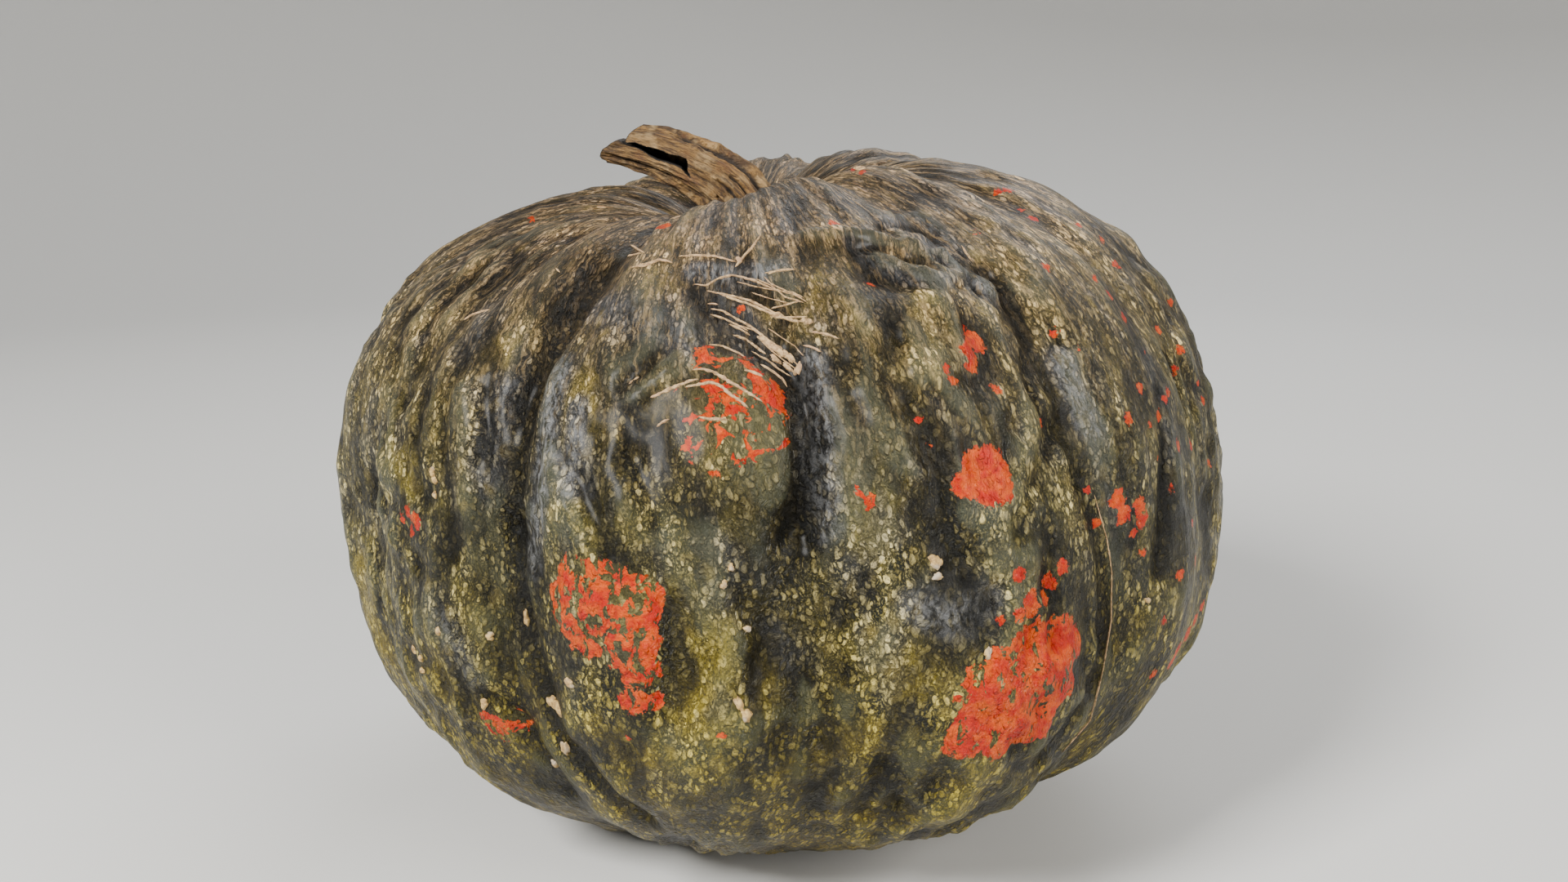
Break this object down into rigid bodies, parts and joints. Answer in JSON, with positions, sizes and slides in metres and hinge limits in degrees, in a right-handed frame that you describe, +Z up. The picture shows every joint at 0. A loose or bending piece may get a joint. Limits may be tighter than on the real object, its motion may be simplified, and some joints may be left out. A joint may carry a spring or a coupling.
{
  "type": "pumpkin",
  "caption": "Whole ribbed winter pumpkin, mottled dark green with orange-red patches and tan scars, and a short split woody stem leaning over the crown.",
  "frame": {"origin": "middle of the overall box seen from above, on the plane the fruit rests on", "axes": "+Z up along the fruit's axis to the stem, -Y toward the front, +X to the front's right"},
  "size_m": [0.2556, 0.258, 0.2017],
  "materials": {
    "rind": "mottled olive and black-green rind with pale specks, orange-red patches and a low waxy gloss",
    "stem_wood": "dry, ridged, matte brown wood with dark splits"
  },
  "bodies": {
    "root": {"fruit": "rind", "stem": "stem_wood"}
  },
  "joints": []
}
